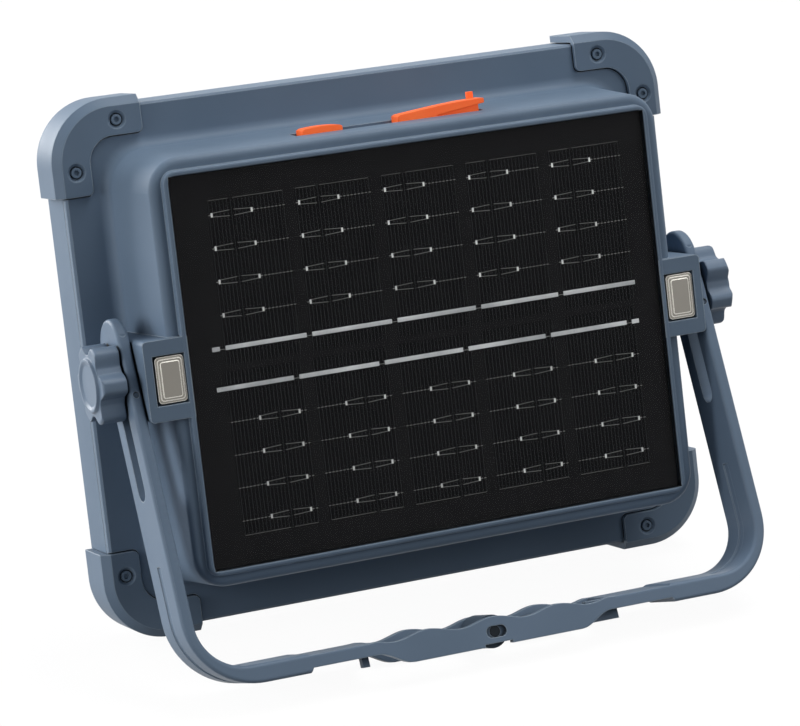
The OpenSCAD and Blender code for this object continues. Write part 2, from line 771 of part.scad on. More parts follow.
// ---- Corner guards ----
// Each guard is one section swept round the corner and along its two arms
module corner_guard(right, top) {
    wrap_in = flange_r + 0.3;
    color("#5A6878") stand() at_corner(right, top) difference() {
        corner_sweep([[guard_in, 0], [guard_out - guard_cham, 0], [guard_out, guard_cham],
            [guard_out, guard_d], [wrap_in, guard_d], [wrap_in, guard_face_t], [guard_in, guard_face_t]],
            guard_arm_x, guard_arm_z);
        for (p = screw_spots) translate([p[0], 0, p[1]]) {
            y_rod(screw_r + fit, -1, guard_face_t + 1);
            y_rod(screw_head_r + 0.5, -1, screw_seat);
            translate([0, -eps, 0]) rotate([-90, 0, 0])
                cylinder(r1 = screw_dish_r, r2 = screw_head_r + 0.5, h = screw_dish_t);
        }
        // Rounded corners where the arms end
        translate([-guard_arm_x, 0, guard_in]) end_round(guard_end_r, guard_face_t);
        translate([guard_in, 0, -guard_arm_z]) end_round(guard_end_r, guard_face_t);
    }
}

// Prism that rounds off a plate's corner at the origin, from its face down to a depth
module end_round(r, depth) {
    translate([0, depth - eps, 0]) rotate([90, 0, 0]) linear_extrude(depth + 1) difference() {
        translate([-0.5, -0.5]) square(r + 0.5);
        translate([r, r]) circle(r = r);
    }
}

module top_left_guard() { corner_guard(false, true); }
module top_right_guard() { corner_guard(true, true); }
module bottom_left_guard() { corner_guard(false, false); }
module bottom_right_guard() { corner_guard(true, false); }

module guard_screws() {
    color("#4A5666") stand() all_corners() for (p = screw_spots)
        translate([p[0], screw_seat, p[1]]) rotate([90, 0, 0])
            screw(screw_r, screw_head_r, screw_seat - 0.1, guard_screw_tip - screw_seat);
}

// ---- Brackets' magnets and pivot inserts ----
module magnet(s) {
    face_y = panel_y + bracket_set + magnet_set;
    color("#8F8B83") stand() translate([s * pocket_x + magnet_shift, 0, 0]) for (i = [0:2])
        plate(magnet_w / 2 - i * magnet_step, magnet_h / 2 - i * magnet_step, magnet_r - 0.35 * i,
            face_y + 0.5 - 0.25 * i, face_y + magnet_t);
}

module left_magnet() { magnet(-1); }
module right_magnet() { magnet(1); }

module pivot_insert() {
    color("#B5924C") stand() translate([0, pivot_y, 0]) difference() {
        x_rod(insert_r - fit, bracket_x - insert_len, bracket_x);
        x_rod(bolt_r + bore_fit, bracket_x - insert_len - 1, bracket_x + 1);
    }
}

module left_pivot_insert() { mirror([1, 0, 0]) pivot_insert(); }
module right_pivot_insert() { pivot_insert(); }

// ---- Handle ----
function rounding(cx, cy, r, from, to) = [for (i = [0:4]) let (a = from + (to - from) * i / 4)
    [cx + r * cos(a), cy + r * sin(a)]];

// Solid whose sweep makes the handle's outside, with rounded long edges
module handle_outside() {
    e = edge_r;
    swept_solid(concat([[0, -handle_half]], rounding(handle_r - e, -handle_half + e, e, -90, 0),
        rounding(handle_r - e, handle_half - e, e, 0, 90), [[0, handle_half]]),
        leg_out - handle_r, bar_out - handle_r);
}

// Solid that hollows it out, flared to round the inner edges
module handle_inside() {
    e = edge_r;
    r = handle_in_r;
    swept_solid(concat([[0, -handle_half - 1], [r + e, -handle_half - 1]],
        rounding(r + e, -handle_half + e, e, -90, -180), rounding(r + e, handle_half - e, e, 180, 90),
        [[r + e, handle_half + 1], [0, handle_half + 1]]), leg_in - r, bar_in - r);
}

module handle_ear() {
    e = edge_r;
    rotate([0, 90, 0]) rotate_extrude() polygon(concat([[0, leg_in]],
        rounding(handle_half - e, leg_in + e, e, -90, 0), rounding(handle_half - e, leg_out - e, e, 0, 90),
        [[0, leg_out]]));
}

function ramp(t) = t <= 0 ? 0 : t >= 1 ? 1 : t * t * (3 - 2 * t);
function rail_top(x) = mid_top - (abs(x) < wave_span ? wave_h * cos(360 * x / wave_len) + 0.15
    : (wave_h * cos(360 * wave_span / wave_len) + 0.15) * (1 - ramp((abs(x) - wave_span) / 3)));
function rail_bottom(x) = mid_top + mid_bar_t + (rail_out - mid_top - mid_bar_t)
    * ramp((grip_half - 1 - abs(x)) / 12);

module rail_outline() {
    step = 1.5;
    last = floor(grip_half / step) + 2;
    polygon(concat([for (i = [-last:last]) [i * step, -rail_top(i * step)]],
        [for (i = [last:-1:-last]) [i * step, -rail_bottom(i * step)]]));
}

// Shallow grooves along the outside and the inside of the legs, round the corners
module handle_grooves() {
    half = groove_w / 2;
    difference() {
        union() {
            swept_ring([[handle_r - groove_d, -half], [handle_r + 1, -half - 0.6], [handle_r + 1, half + 0.6],
                [handle_r - groove_d, half]], leg_out - handle_r, bar_out - handle_r);
            swept_ring([[handle_in_r + groove_d, -half], [handle_in_r - 1, -half - 0.6],
                [handle_in_r - 1, half + 0.6], [handle_in_r + groove_d, half]], leg_in - handle_in_r,
                bar_in - handle_in_r);
        }
        translate([-leg_out - 1, -handle_d, -groove_top]) cube([2 * leg_out + 2, 2 * handle_d, 2 * bar_out]);
        translate([handle_in_r - leg_in, -handle_d, -bar_out - 1])
            cube([2 * (leg_in - handle_in_r), 2 * handle_d, bar_out]);
    }
}

// Rakes the bar: moves a point nearer the pivot the further it lies from the panel-side face
module raked() {
    multmatrix([[1, 0, 0, 0], [0, 1, 0, 0], [0, rake, 1, handle_half * rake], [0, 0, 0, 1]]) children();
}

// Places a child square to the raked bar, at the hook's pin
module at_hook() {
    on_handle() translate([0, 0, -hook_mid_u]) rotate([bar_rake, 0, 0]) children();
}

// Legs and bar before the rake, with the open grip in the bar's middle
module legs_and_bar() {
    difference() {
        union() {
            difference() {
                handle_outside();
                handle_inside();
                // Thin middle of the bar, with sloping ends
                translate([0, handle_half + 1, 0]) rotate([90, 0, 0]) linear_extrude(handle_d + 2) {
                    polygon([[-mid_bar, -mid_top], [mid_bar, -mid_top], [mid_bar + pad_end, -bar_in],
                        [mid_bar + pad_end, 0], [-mid_bar - pad_end, 0], [-mid_bar - pad_end, -bar_in]]);
                    polygon([[-mid_bar, -mid_top - mid_bar_t], [mid_bar, -mid_top - mid_bar_t],
                        [mid_bar + pad_end, -bar_out], [mid_bar + pad_end, -bar_out - 1],
                        [-mid_bar - pad_end, -bar_out - 1], [-mid_bar - pad_end, -bar_out]]);
                }
                translate([-grip_half, -handle_half - 1, -bar_out - 1])
                    cube([2 * grip_half, handle_d + 2, bar_t + 2]);
            }
            // Waved rails of the grip
            for (s = [0, 1]) mirror([0, s, 0]) translate([0, handle_half, 0]) rotate([90, 0, 0])
                linear_extrude(rail_t) rail_outline();
            // Stops at the ends of the grip; the right one reaches in toward the hook
            for (p = [[-stop_x, stop_short], [stop_x - stop_long, stop_long]])
                translate([p[0], stop_v, -mid_top - mid_bar_t - stop_drop])
                    cube([p[1], stop_t, stop_drop + mid_bar_t - 0.4]);
        }
        handle_grooves();
        // Notch under the panel-side rail
        translate([-notch_w / 2, -handle_half - 1, -rail_out - 1]) cube([notch_w, rail_t + 2, notch_d + 1]);
    }
}

module handle() {
    color("#5A6878") stand() {
        difference() {
            on_handle() difference() {
                union() {
                    difference() {
                        raked() legs_and_bar();
                        translate([-leg_out - 1, -handle_half - 1, ear_rise])
                            cube([2 * leg_out + 2, handle_d + 2, 2 * bar_out]);
                    }
                    for (s = [0, 1]) mirror([s, 0, 0]) translate([0, 0, ear_rise]) handle_ear();
                }
                // Slots in the legs
                for (s = [0, 1]) mirror([s, 0, 0]) {
                    translate([0, 0, slide_travel]) x_rod(slot_w / 2, leg_in - 1, leg_out + 1);
                    translate([0, 0, slot_w / 2 - slot_end]) x_rod(slot_w / 2, leg_in - 1, leg_out + 1);
                    translate([leg_in - 1, -slot_w / 2, slot_w / 2 - slot_end])
                        cube([leg_t + 2, slot_w, slot_end - slot_w / 2 + slide_travel]);
                }
                // Dimples in the ears' panel side
                for (x = [-dimple_x, dimple_x], z = dimple_z) translate([x, 0, z])
                    y_rod(dimple_r, -handle_half - 1, 0.5 - handle_half);
            }
            // Holes for the hook's pin, and the slot over its head
            at_hook() {
                y_rod(pin_r + bore_fit, -handle_half - 1, handle_half - 1);
                for (s = [-1, 1]) translate([s * pin_slot / 2, 0, 0])
                    y_rod(pin_r + 0.1, -handle_half - 2, pin_seat);
                translate([-pin_slot / 2, -handle_half - 2, -pin_r - 0.1])
                    cube([pin_slot, pin_seat + handle_half + 2, 2 * pin_r + 0.2]);
            }
        }
    }
}

// Round bush on each clamp bolt, running in the leg's slot, with a flange outside the leg
module slot_bush() {
    color("#2B2E33") stand() translate([0, pivot_y, 0]) difference() {
        union() {
            x_rod(bush_r, leg_in + 0.1, leg_out + fit + eps);
            x_rod(bush_flange_r, leg_out + fit, leg_out + fit + bush_flange_t);
        }
        x_rod(bolt_r + bore_fit, leg_in - 1, knob_in);
    }
}

module left_slot_bush() { mirror([1, 0, 0]) slot_bush(); }
module right_slot_bush() { slot_bush(); }

// J-shaped hook folded into the open grip, turning on the pin across the rails
module hook() {
    half = (handle_half - rail_t - 0.3 - hub_r * sin(bar_rake)) / cos(bar_rake);
    bend = hook_len - half;
    mouth = hook_len / 2;
    color("#333C48") stand() at_hook() difference() {
        union() {
            y_rod(hub_r, -half, half);
            translate([0, 0, -hook_t / 2]) linear_extrude(hook_t) difference() {
                union() {
                    translate([0, -half]) square([bend, hook_bar]);
                    translate([bend, 0]) circle(r = half);
                    translate([mouth, half - hook_bar]) square([bend - mouth, hook_bar]);
                    translate([mouth, half - hook_bar / 2]) circle(d = hook_bar);
                }
                translate([bend, 0]) circle(r = half - hook_bar);
                translate([mouth - hook_bar, hook_bar - half]) square([bend - mouth + hook_bar,
                    2 * (half - hook_bar)]);
            }
        }
        y_rod(pin_r + bore_fit, -half - 1, half + 1);
    }
}

module hook_pin() {
    color("#7C8288") stand() at_hook() y_rod(pin_r, pin_seat, handle_half - 1.2);
}

// ---- Knobs ----
// Lobed outline: wide rounded tips with hollow flutes between them
function lobe_r(a) = let (span = 360 / knob_lobes, f = abs((a + 10 * span + span / 2) % span - span / 2))
    knob_r - (knob_r - knob_valley) * ramp((f - span / 12) / (span * 0.34));

module knob(turn) {
    round_r = 1.1;
    steps = 120;
    cap_z = knob_in + knob_t;
    color("#5A6878") stand() translate([0, pivot_y, 0]) rotate([0, 90, 0]) difference() {
        union() {
            intersection() {
                translate([0, 0, knob_in]) linear_extrude(knob_t) polygon([for (i = [0:steps - 1])
                    let (a = i * 360 / steps) lobe_r(a) * [-sin(a + turn), -cos(a + turn)]]);
                rotate_extrude() polygon(concat([[0, knob_in - 1], [knob_r + 1, knob_in - 1]],
                    [for (a = [0:18:90]) [knob_r - round_r + round_r * cos(a) + 0.01,
                        cap_z - round_r + round_r * sin(a)]], [[0, cap_z]]));
            }
            translate([0, 0, cap_z - 1]) cylinder(r1 = cap_r + 0.4, r2 = cap_r - 0.4, h = 1 + cap_rise);
        }
        // Dished face of the cap, inside a raised ring
        translate([0, 0, cap_z + cap_rise - cap_dish])
            cylinder(r1 = cap_r - 2.4, r2 = cap_r - 1.2, h = cap_dish + eps);
        translate([0, 0, knob_in - 1]) cylinder(r = bolt_head_r + fit, h = bolt_head_t + 1.1, $fn = 6);
    }
}

module left_knob() { mirror([1, 0, 0]) knob(0); }
module right_knob() { knob(right_turn); }

module clamp_bolt() {
    color("#9A9C9E") stand() translate([0, pivot_y, 0]) {
        x_rod(bolt_r, bracket_x - insert_len + 0.5, knob_in + 0.2);
        translate([knob_in + 0.1, 0, 0]) rotate([0, 90, 0])
            cylinder(r = bolt_head_r, h = bolt_head_t - 0.1, $fn = 6);
    }
}

module left_clamp_bolt() { mirror([1, 0, 0]) clamp_bolt(); }
module right_clamp_bolt() { clamp_bolt(); }

// ---- Power pack ----

module battery_tray() {
    margin = battery_d / 2 + tray_wall;
    color("#3A3D42") stand() difference() {
        translate([-battery_len - cell_half_gap - tray_wall, cavity_y, cell_rows_z[1] - margin])
            cube([2 * (battery_len + cell_half_gap + tray_wall), tray_rise,
                cell_rows_z[0] - cell_rows_z[1] + 2 * margin]);
        for (z = cell_rows_z, s = [0, 1]) mirror([s, 0, 0]) translate([0, battery_y, z])
            x_rod(battery_d / 2 + fit, cell_half_gap - fit, cell_half_gap + battery_len + fit);
    }
}

module battery_cells() {
    color("#3E7FB5") stand() for (z = cell_rows_z, s = [0, 1]) mirror([s, 0, 0])
        translate([0, battery_y, z]) {
        x_rod(battery_d / 2, cell_half_gap, cell_half_gap + battery_len - 1);
        x_rod(3, cell_half_gap + battery_len - 1 - eps, cell_half_gap + battery_len);
    }
}

module battery_strap() {
    margin = battery_d / 2 + 0.4;
    top_y = battery_y + battery_d / 2 + 0.2;
    foot_y = cavity_y + tray_rise;
    z0 = cell_rows_z[1] - margin - strap_t;
    z1 = cell_rows_z[0] + margin + strap_t;
    color("#4A4D52") stand() for (s = [-1, 1])
        translate([s * (cell_half_gap + battery_len / 2) - strap_w / 2, 0, 0]) {
            translate([0, top_y, z0]) cube([strap_w, strap_t, z1 - z0]);
            for (z = [z0, z1 - strap_t]) translate([0, foot_y, z])
                cube([strap_w, top_y - foot_y + 1, strap_t]);
        }
}

rear_housing();
solar_glass();
solar_cells();
cell_ribbons();
panel_backing();
front_frame();
lens_gasket();
front_lens();
reflector();
led_board();
led_chips();
led_board_screws();
top_left_guard();
top_right_guard();
bottom_left_guard();
bottom_right_guard();
guard_screws();
left_magnet();
right_magnet();
left_pivot_insert();
right_pivot_insert();
left_slot_bush();
right_slot_bush();
handle();
hook();
hook_pin();
left_knob();
right_knob();
left_clamp_bolt();
right_clamp_bolt();
power_button();
port_cover();
usb_a_socket();
usb_c_socket();
power_switch();
control_board();
board_screws();
battery_tray();
battery_cells();
battery_strap();
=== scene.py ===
import bpy
import bmesh
import json
import math
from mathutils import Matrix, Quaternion, Vector


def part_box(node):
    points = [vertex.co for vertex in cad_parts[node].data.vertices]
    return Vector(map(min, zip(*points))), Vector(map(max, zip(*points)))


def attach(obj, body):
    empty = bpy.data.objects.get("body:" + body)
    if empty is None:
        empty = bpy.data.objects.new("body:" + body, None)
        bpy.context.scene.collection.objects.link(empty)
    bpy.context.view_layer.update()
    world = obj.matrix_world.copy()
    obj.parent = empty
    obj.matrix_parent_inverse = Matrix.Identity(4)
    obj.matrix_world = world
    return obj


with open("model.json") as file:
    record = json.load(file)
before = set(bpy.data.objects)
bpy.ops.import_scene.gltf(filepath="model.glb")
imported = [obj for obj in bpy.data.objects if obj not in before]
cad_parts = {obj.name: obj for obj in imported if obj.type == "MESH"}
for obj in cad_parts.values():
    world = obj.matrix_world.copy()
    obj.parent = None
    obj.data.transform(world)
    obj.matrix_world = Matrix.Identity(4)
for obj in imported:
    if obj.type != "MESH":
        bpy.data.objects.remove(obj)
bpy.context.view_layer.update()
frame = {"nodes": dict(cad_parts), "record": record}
record = frame["record"]
nodes = frame["nodes"]
scene = bpy.context.scene
scene.view_settings.view_transform = "Standard"
MM = 0.001


def direction(azimuth, elevation):
    """Unit vector away from the object; azimuth 0 is its panel side, and positive goes to the right."""
    az, el = math.radians(azimuth), math.radians(elevation)
    return Vector((math.sin(az) * math.cos(el), -math.cos(az) * math.cos(el), math.sin(el)))


def facing(away):
    """Rotation of a camera or a lamp that stands this way from the object and looks back at it."""
    return (-away).to_track_quat("-Z", "Y")


# ---------------------------------------------------------------- camera
CAMERA_AZIMUTH = -22.8216
CAMERA_ELEVATION = 18.4328
CAMERA_ROLL = 1.8475
CAMERA_DISTANCE = 1.31343
CAMERA_LENS = 169.166
SENSOR_WIDTH = 36
CLIP_START, CLIP_END = 0.05, 50
LOOK_AT = Vector((-0.00610, 0.00177, 0.09139))


def make_camera():
    back = direction(CAMERA_AZIMUTH, CAMERA_ELEVATION)
    cam = bpy.data.objects.new("camera", bpy.data.cameras.new("camera"))
    scene.collection.objects.link(cam)
    cam.data.sensor_width = SENSOR_WIDTH
    cam.data.lens = CAMERA_LENS
    cam.data.clip_start, cam.data.clip_end = CLIP_START, CLIP_END
    cam.rotation_mode = "QUATERNION"
    cam.rotation_quaternion = facing(back) @ Quaternion((0, 0, 1), -math.radians(CAMERA_ROLL))
    cam.location = LOOK_AT + back * CAMERA_DISTANCE
    scene.camera = cam


make_camera()

# ---------------------------------------------------------------- panel frame
# The panel leans back. Its outward normal is the axis of the magnets' mounts.
mounts = {m["name"]: m for m in record["mounts"]}
NORMAL = Vector(mounts["left_magnet_face"]["axis"]).normalized()
RIGHT = Vector((1, 0, 0))
UP = NORMAL.cross(RIGHT)
GLASS_T = 2 * MM
glass_low, glass_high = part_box("solar_glass")
GLASS_FACE = (glass_low + glass_high) / 2 + NORMAL * GLASS_T / 2


def on_panel(x, z, depth=0.0):
    """A point x to the right of the glass centre, z above it and depth behind its face, in millimetres."""
    return GLASS_FACE + (RIGHT * x + UP * z - NORMAL * depth) * MM


# ---------------------------------------------------------------- materials
def colour(text):
    """Linear colour of an sRGB hex text."""
    values = [int(text[i:i + 2], 16) / 255 for i in (1, 3, 5)]
    return tuple(v / 12.92 if v <= 0.04045 else ((v + 0.055) / 1.055) ** 2.4 for v in values) + (1,)


EDGE_SAMPLES, SHADE_SAMPLES = 4, 8


class Look:
    """A node material built round one Principled shader."""

    def __init__(self, name, base, rough=0.5, metal=0.0, specular=0.5):
        self.mat = bpy.data.materials.new(name)
        self.mat.use_nodes = True
        self.tree = self.mat.node_tree
        self.tree.nodes.clear()
        self.shader = self.add("ShaderNodeBsdfPrincipled")
        self.link(self.shader.outputs[0], self.add("ShaderNodeOutputMaterial").inputs[0])
        self.set("Base Color", colour(base))
        self.set("Roughness", rough)
        self.set("Metallic", metal)
        self.set("Specular IOR Level", specular)
        self.coord = self.add("ShaderNodeTexCoord").outputs["Object"]
        self.normal = None

    def add(self, kind, **values):
        node = self.tree.nodes.new(kind)
        for key, value in values.items():
            setattr(node, key, value)
        return node

    def set(self, socket, value):
        self.shader.inputs[socket].default_value = value

    def link(self, a, b):
        self.tree.links.new(a, b)

    def noise(self, per_metre, detail, rough=0.5):
        """Noise with about this many features per metre."""
        node = self.add("ShaderNodeTexNoise")
        node.inputs["Scale"].default_value = per_metre
        node.inputs["Detail"].default_value = detail
        node.inputs["Roughness"].default_value = rough
        self.link(self.coord, node.inputs["Vector"])
        return node.outputs["Fac"]

    def tint(self, fac, low, high, start=0.3, stop=0.7):
        """Base colour that runs from low to high as fac goes from start to stop."""
        ramp = self.add("ShaderNodeValToRGB")
        first, last = ramp.color_ramp.elements
        first.position, last.position = start, stop
        first.color, last.color = colour(low), colour(high)
        self.link(fac, ramp.inputs[0])
        self.link(ramp.outputs[0], self.shader.inputs["Base Color"])

    def roughness(self, fac, low, high):
        """Roughness that runs from low to high as fac goes from 0 to 1."""
        node = self.add("ShaderNodeMapRange")
        node.inputs["To Min"].default_value = low
        node.inputs["To Max"].default_value = high
        self.link(fac, node.inputs["Value"])
        self.link(node.outputs[0], self.shader.inputs["Roughness"])

    def rounded_normal(self, radius, samples):
        node = self.add("ShaderNodeBevel", samples=samples)
        node.inputs["Radius"].default_value = radius
        return node.outputs[0]

    def flatness(self, radius):
        """1 away from the edges, and less within this radius of them."""
        dot = self.add("ShaderNodeVectorMath", operation="DOT_PRODUCT")
        self.link(self.rounded_normal(radius, SHADE_SAMPLES), dot.inputs[0])
        self.link(self.add("ShaderNodeNewGeometry").outputs["Normal"], dot.inputs[1])
        return dot.outputs["Value"]

    def edges(self, radius):
        """Soft edges: the normal of a rounding of this radius."""
        self.normal = self.rounded_normal(radius, EDGE_SAMPLES)
        self.link(self.normal, self.shader.inputs["Normal"])

    def painted_edge_glints(self, radius, flat, edge):
        """Painted highlight: base colour that runs from flat on the faces to edge on the edges."""
        self.tint(self.flatness(radius), edge, flat, start=0.9, stop=0.995)

    def blend_base(self, fac, text):
        """Mix the base colour, as linked so far, towards this colour where fac is 1."""
        socket = self.shader.inputs["Base Color"]
        mix = self.add("ShaderNodeMix", data_type="RGBA")
        # Of the node's sockets for each data type, these are the colour ones
        factor, colour_a, colour_b, result = mix.inputs[0], mix.inputs[6], mix.inputs[7], mix.outputs[2]
        self.link(socket.links[0].from_socket, colour_a)
        colour_b.default_value = colour(text)
        self.link(fac, factor)
        self.link(result, socket)

    def ramp_down(self, value, full, none):
        """1 where value is full or less, 0 where it is none or more."""
        node = self.add("ShaderNodeMapRange")
        for name, number in (("From Min", full), ("From Max", none), ("To Min", 1), ("To Max", 0)):
            node.inputs[name].default_value = number
        self.link(value, node.inputs["Value"])
        return node.outputs[0]

    def painted_edge_highlights(self, radius, text):
        """Painted highlight: this lighter colour on the edges."""
        self.blend_base(self.ramp_down(self.flatness(radius), full=0.85, none=0.99), text)

    def painted_crevice_shade(self, distance, full, none):
        """Painted shade: dark where other faces stand within this distance, in full where the share of open
        view is full or less.
        """
        view = self.add("ShaderNodeAmbientOcclusion", samples=SHADE_SAMPLES)
        view.inputs["Distance"].default_value = distance
        # Near-black colour of the painted shade
        self.blend_base(self.ramp_down(view.outputs["AO"], full, none), "#0C1014")

    def bump(self, fac, strength, height):
        """Fine relief on top of the soft edges, if there are any."""
        node = self.add("ShaderNodeBump")
        node.inputs["Strength"].default_value = strength
        node.inputs["Distance"].default_value = height
        self.link(fac, node.inputs["Height"])
        if self.normal is not None:
            self.link(self.normal, node.inputs["Normal"])
        self.normal = node.outputs[0]
        self.link(self.normal, self.shader.inputs["Normal"])


def moulded(name, low, high, rough=0.46, edge=0.6 * MM, specular=0.14, painted_highlight=None, painted_shade=None):
    """Moulded plastic with a fine spark-eroded grain, and optionally painted highlights on its edges and
    painted shade in narrow gaps.
    """
    look = Look(name, high, rough, specular=specular)
    look.tint(look.noise(per_metre=26, detail=3), low, high)
    if painted_highlight:
        look.painted_edge_highlights(**painted_highlight)
    if painted_shade:
        look.painted_crevice_shade(**painted_shade)
    look.roughness(look.noise(per_metre=90, detail=2), rough - 0.04, rough + 0.05)
    look.edges(edge)
    look.bump(look.noise(per_metre=3800, detail=2, rough=0.6), strength=0.25, height=0.04 * MM)
    return look.mat


def printed(name, low, high, rough=0.5, metal=0.0, specular=0.05):
    """A thin flat layer: silicon, silver print, film."""
    look = Look(name, high, rough, metal=metal, specular=specular)
    look.tint(look.noise(per_metre=120, detail=2), low, high)
    look.roughness(look.noise(per_metre=300, detail=2), rough - 0.04, rough + 0.04)
    return look.mat


def metal(name, low, high, rough=0.3):
    """Plated or bare metal with small stains and a fine grain."""
    look = Look(name, high, rough, metal=1.0)
    look.tint(look.noise(per_metre=60, detail=3), low, high)
    look.roughness(look.noise(per_metre=240, detail=3), rough - 0.05, rough + 0.08)
    look.edges(0.3 * MM)
    look.bump(look.noise(per_metre=2400, detail=3), strength=0.1, height=0.03 * MM)
    return look.mat


def soft(name, low, high, rough=0.6, edge=0.6 * MM):
    """Rubber and cast silicone."""
    look = Look(name, high, rough, specular=0.35)
    look.tint(look.noise(per_metre=70, detail=3), low, high)
    look.roughness(look.noise(per_metre=160, detail=2), rough - 0.05, rough + 0.06)
    look.edges(edge)
    look.bump(look.noise(per_metre=2600, detail=3, rough=0.6), strength=0.2, height=0.05 * MM)
    return look.mat


def painted_glow_rubber():
    """Orange rubber with a painted glow: a small emission adds light to what its pigment reflects."""
    look = Look("orange_rubber", "#FF6C34", 0.55, specular=0.4)
    look.tint(look.noise(per_metre=70, detail=3), "#FF6A2C", "#FF7636")
    look.roughness(look.noise(per_metre=160, detail=2), 0.48, 0.6)
    # Painted glow: the emission makes the rubber give off light of its own
    look.set("Emission Color", colour("#FF6028"))
    look.set("Emission Strength", 0.22)
    look.edges(0.6 * MM)
    look.bump(look.noise(per_metre=2600, detail=3, rough=0.6), strength=0.2, height=0.05 * MM)
    return look.mat


def glass_over_cells():
    """Thin black-tinted glass, clear enough to show the print."""
    look = Look("panel_glass", "#0B0B0D", 0.06, specular=0.2)
    look.roughness(look.noise(per_metre=30, detail=2), 0.04, 0.09)
    look.set("Alpha", 0.1)
    look.set("IOR", 1.5)
    look.bump(look.noise(per_metre=12, detail=1), strength=0.02, height=0.2 * MM)
    return look.mat


def magnet_steel():
    """Nickel plating, with painted highlights on the edges of its steps."""
    look = Look("nickel", "#7F7C75", 0.3, metal=1.0)
    # Painted highlights: a near-white base colour on the edges
    look.painted_edge_glints(0.45 * MM, "#7B7872", "#EAE7DE")
    look.roughness(look.noise(per_metre=240, detail=3), 0.24, 0.36)
    look.edges(0.3 * MM)
    look.bump(look.noise(per_metre=900, detail=3), strength=0.12, height=0.05 * MM)
    return look.mat


def clear_lens():
    """Clear moulded lens, through which the LED board shows."""
    look = Look("clear_lens", "#E6ECEE", 0.1, specular=0.5)
    look.roughness(look.noise(per_metre=40, detail=2), 0.08, 0.16)
    look.set("Alpha", 0.12)
    look.edges(0.4 * MM)
    return look.mat


# Housing plastic: painted highlights on the edges and painted shade in narrow gaps
PLASTIC = moulded("housing_plastic", "#64768A", "#6B7D91",
                  painted_highlight=dict(radius=0.5 * MM, text="#B0BECB"),
                  painted_shade=dict(distance=1.2 * MM, full=0.25, none=0.5))
# Handle plastic: painted highlights on the edges and painted shade where other faces stand within 8 mm
HANDLE = moulded("handle_plastic", "#65778B", "#6C7E93", rough=0.42,
                 painted_highlight=dict(radius=0.5 * MM, text="#A6B5C3"),
                 painted_shade=dict(distance=8 * MM, full=0.3, none=0.6))
KNOB = moulded("knob_plastic", "#66788C", "#6E8095", rough=0.36, edge=0.8 * MM, specular=0.2)
DARK = moulded("dark_plastic", "#1D242B", "#252D35", rough=0.42)
# Hook plastic: painted shade where other faces stand within 6 mm
HOOK = moulded("hook_plastic", "#465463", "#4F5E6E", rough=0.42,
               painted_shade=dict(distance=6 * MM, full=0.3, none=0.75))
CELL = printed("cell_silicon", "#161618", "#19191B")
BACKING = printed("backing", "#1F1F21", "#222224")
RIBBON = metal("tinned_ribbon", "#8E9193", "#BDBFC1", rough=0.5)
MAGNET = magnet_steel()
STEEL = metal("zinc_steel", "#8C9094", "#A4A8AC", rough=0.32)
SCREW = moulded("coated_screw", "#5F7184", "#687A8E", rough=0.45, edge=0.3 * MM)
BRASS = metal("brass", "#B08D4A", "#C7A25A", rough=0.3)
ORANGE = painted_glow_rubber()
BLACK_RUBBER = soft("black_rubber", "#17181A", "#1E1F22", rough=0.7)
GLASS = glass_over_cells()
LENS = clear_lens()
WHITE = moulded("white_plastic", "#E2E2DE", "#ECECE8", rough=0.35)
BOARD_WHITE = moulded("white_board", "#DDDFDC", "#E9EAE7", rough=0.4, edge=0.2 * MM)
LED = soft("led_phosphor", "#E2B944", "#EFC95A", rough=0.4, edge=0.2 * MM)
GREEN = moulded("solder_resist", "#12492C", "#185A37", rough=0.3, edge=0.2 * MM)
SLEEVE = moulded("battery_sleeve", "#2C5C94", "#356AA8", rough=0.3)
FINGER = printed("silver_finger", "#3D3F42", "#434548")
BUSBAR = printed("silver_print", "#A8AAA8", "#BCBEBB")
PAD = printed("solder", "#C8CAC8", "#DCDEDC", rough=0.45, metal=1.0)
FILM = printed("margin_film", "#232325", "#262628")

ASSIGN = {
    PLASTIC: ["rear_housing", "front_frame", "top_left_guard", "top_right_guard",
              "bottom_left_guard", "bottom_right_guard"],
    HANDLE: ["handle"],
    KNOB: ["left_knob", "right_knob"],
    GLASS: ["solar_glass"],
    CELL: ["solar_cells"],
    RIBBON: ["cell_ribbons"],
    BACKING: ["panel_backing"],
    BLACK_RUBBER: ["lens_gasket"],
    LENS: ["front_lens"],
    WHITE: ["reflector"],
    BOARD_WHITE: ["led_board"],
    LED: ["led_chips"],
    STEEL: ["led_board_screws", "board_screws", "left_clamp_bolt", "right_clamp_bolt",
            "usb_a_socket", "usb_c_socket"],
    SCREW: ["guard_screws"],
    MAGNET: ["left_magnet", "right_magnet"],
    BRASS: ["left_pivot_insert", "right_pivot_insert"],
    HOOK: ["hook"],
    DARK: ["left_slot_bush", "right_slot_bush", "hook_pin", "power_switch",
           "battery_tray", "battery_strap"],
    ORANGE: ["power_button", "port_cover"],
    GREEN: ["control_board"],
    SLEEVE: ["battery_cells"],
}
for mat, names in ASSIGN.items():
    for name in names:
        slots = nodes[name].data.materials
        slots.clear()
        slots.append(mat)
plain = set(nodes) - {name for names in ASSIGN.values() for name in names}
assert not plain, f"CAD nodes without a material: {plain}"


